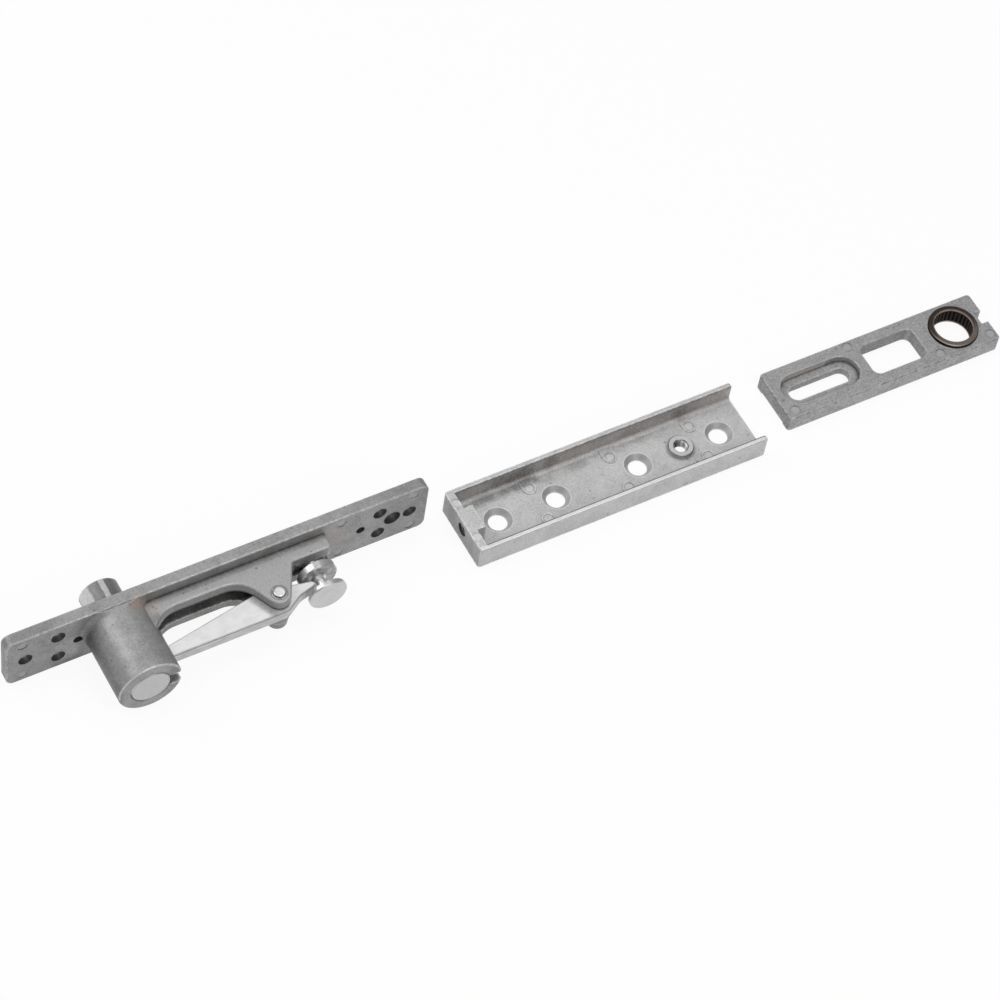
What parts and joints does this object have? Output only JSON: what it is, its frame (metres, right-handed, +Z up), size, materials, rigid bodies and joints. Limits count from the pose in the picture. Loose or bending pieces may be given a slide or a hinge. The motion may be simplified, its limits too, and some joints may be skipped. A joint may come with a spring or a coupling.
{
  "type": "glass door pivot hinge",
  "caption": "Centre-hung pivot hinge for a glass door, taken apart: face plate with sliding pin and adjusting lever, door channel, and arm with a needle bearing.",
  "frame": {"origin": "middle of the row's length and depth, at the level that the three halves lie on", "axes": "+X along the row from the face plate to the arm, +Y from the plate's front face to its back, +Z up"},
  "size_m": [0.5184, 0.056, 0.0318],
  "materials": {
    "frame_cast": "bead-blasted casting, dull",
    "channel_cast": "pale grainy casting",
    "arm_cast": "grainy casting",
    "pin_steel": "ground, satin end",
    "plated_steel": "bright zinc plating",
    "screw_steel": "turned and polished",
    "dark_steel": "dark hardened steel, oiled"
  },
  "bodies": {
    "fixed_pieces": {"frame_casting": "frame_cast", "lever_rivet": "plated_steel", "door_channel": "channel_cast", "threaded_insert": "plated_steel", "end_load_arm": "arm_cast", "bearing_cup": "dark_steel"},
    "pin": {"pivot_pin": "pin_steel"},
    "walking_beam": {"lever": "plated_steel"},
    "spool_screw": {"adjusting_screw": "screw_steel"},
    "needle_row": {"needle_roller_01": "dark_steel", "needle_roller_02": "dark_steel", "needle_roller_03": "dark_steel", "needle_roller_04": "dark_steel", "needle_roller_05": "dark_steel", "needle_roller_06": "dark_steel", "needle_roller_07": "dark_steel", "needle_roller_08": "dark_steel", "needle_roller_09": "dark_steel", "needle_roller_10": "dark_steel", "needle_roller_11": "dark_steel", "needle_roller_12": "dark_steel", "needle_roller_13": "dark_steel", "needle_roller_14": "dark_steel", "needle_roller_15": "dark_steel", "needle_roller_16": "dark_steel", "needle_roller_17": "dark_steel", "needle_roller_18": "dark_steel", "needle_roller_19": "dark_steel", "needle_roller_20": "dark_steel", "needle_roller_21": "dark_steel", "needle_roller_22": "dark_steel", "needle_roller_23": "dark_steel", "needle_roller_24": "dark_steel", "needle_roller_25": "dark_steel", "needle_roller_26": "dark_steel", "needle_roller_27": "dark_steel", "needle_roller_28": "dark_steel", "needle_roller_29": "dark_steel", "needle_roller_30": "dark_steel", "needle_roller_31": "dark_steel"}
  },
  "joints": [
    {"name": "pin_slide", "type": "slide", "parent": "fixed_pieces", "child": "pin", "axis": [0, -1, 0], "range_m": [0, 0.0137]},
    {"name": "lever_tilt", "type": "hinge", "parent": "fixed_pieces", "child": "walking_beam", "pos_m": [-0.13515, -0.01205, 0.01588], "axis": [0, 0, 1], "range_deg": [0, 11.25]},
    {"name": "screw_travel", "type": "slide", "parent": "fixed_pieces", "child": "spool_screw", "axis": [0, 1, 0], "range_m": [0, 0.00345]},
    {"name": "bearing_spin", "type": "hinge", "parent": "fixed_pieces", "child": "needle_row", "pos_m": [0.24055, -0.00192, 0.0061], "axis": [0, 0, 1], "continuous": true}
  ],
  "couplings": [
    {"joint": "lever_tilt", "follows": "pin_slide", "rad_per_m": 14.317},
    {"joint": "screw_travel", "follows": "pin_slide", "ratio": 0.249}
  ]
}
